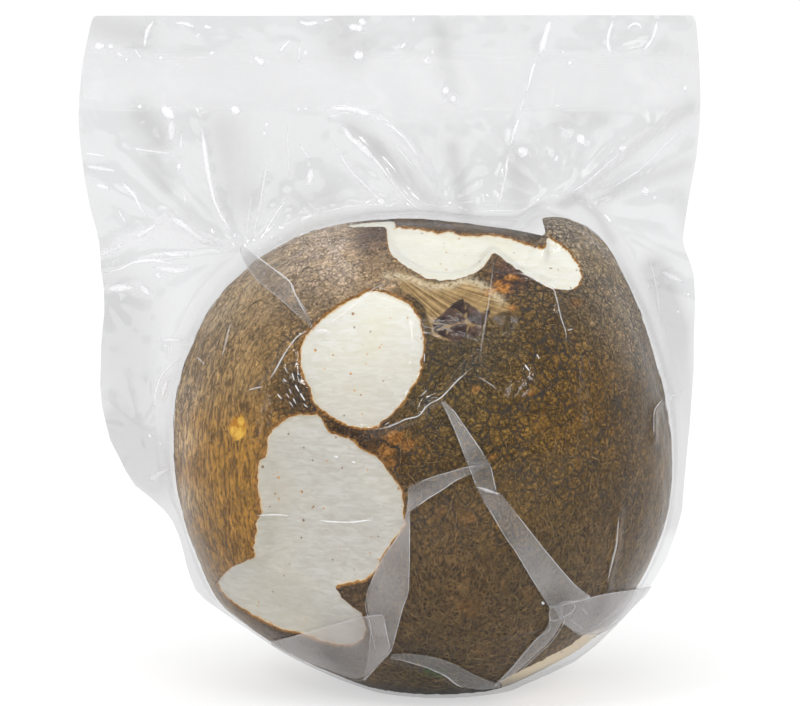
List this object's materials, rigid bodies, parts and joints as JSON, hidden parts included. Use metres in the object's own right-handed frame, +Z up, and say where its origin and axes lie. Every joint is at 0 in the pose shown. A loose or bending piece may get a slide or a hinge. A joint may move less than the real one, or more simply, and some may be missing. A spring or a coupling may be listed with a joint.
{
  "type": "taro root",
  "caption": "Whole trimmed taro corm with knife-bared flesh, standing on its cut base inside a tight, clear film pouch with a flat sealed flap on top.",
  "frame": {"origin": "bottom centre of the whole thing's bounding box, on the surface it stands on", "axes": "+Z up through the sealed flap, +Y from the front to the back through the corm, +X to the right seen from the front"},
  "size_m": [0.1665, 0.1212, 0.1807],
  "materials": {
    "corm": "rough fibrous brown skin with bared cream flesh",
    "front_film": "clear glossy film",
    "back_film": "clear glossy film"
  },
  "bodies": {
    "root": {"taro_corm": "corm", "pouch_front_film": "front_film", "pouch_back_film": "back_film"}
  },
  "joints": []
}
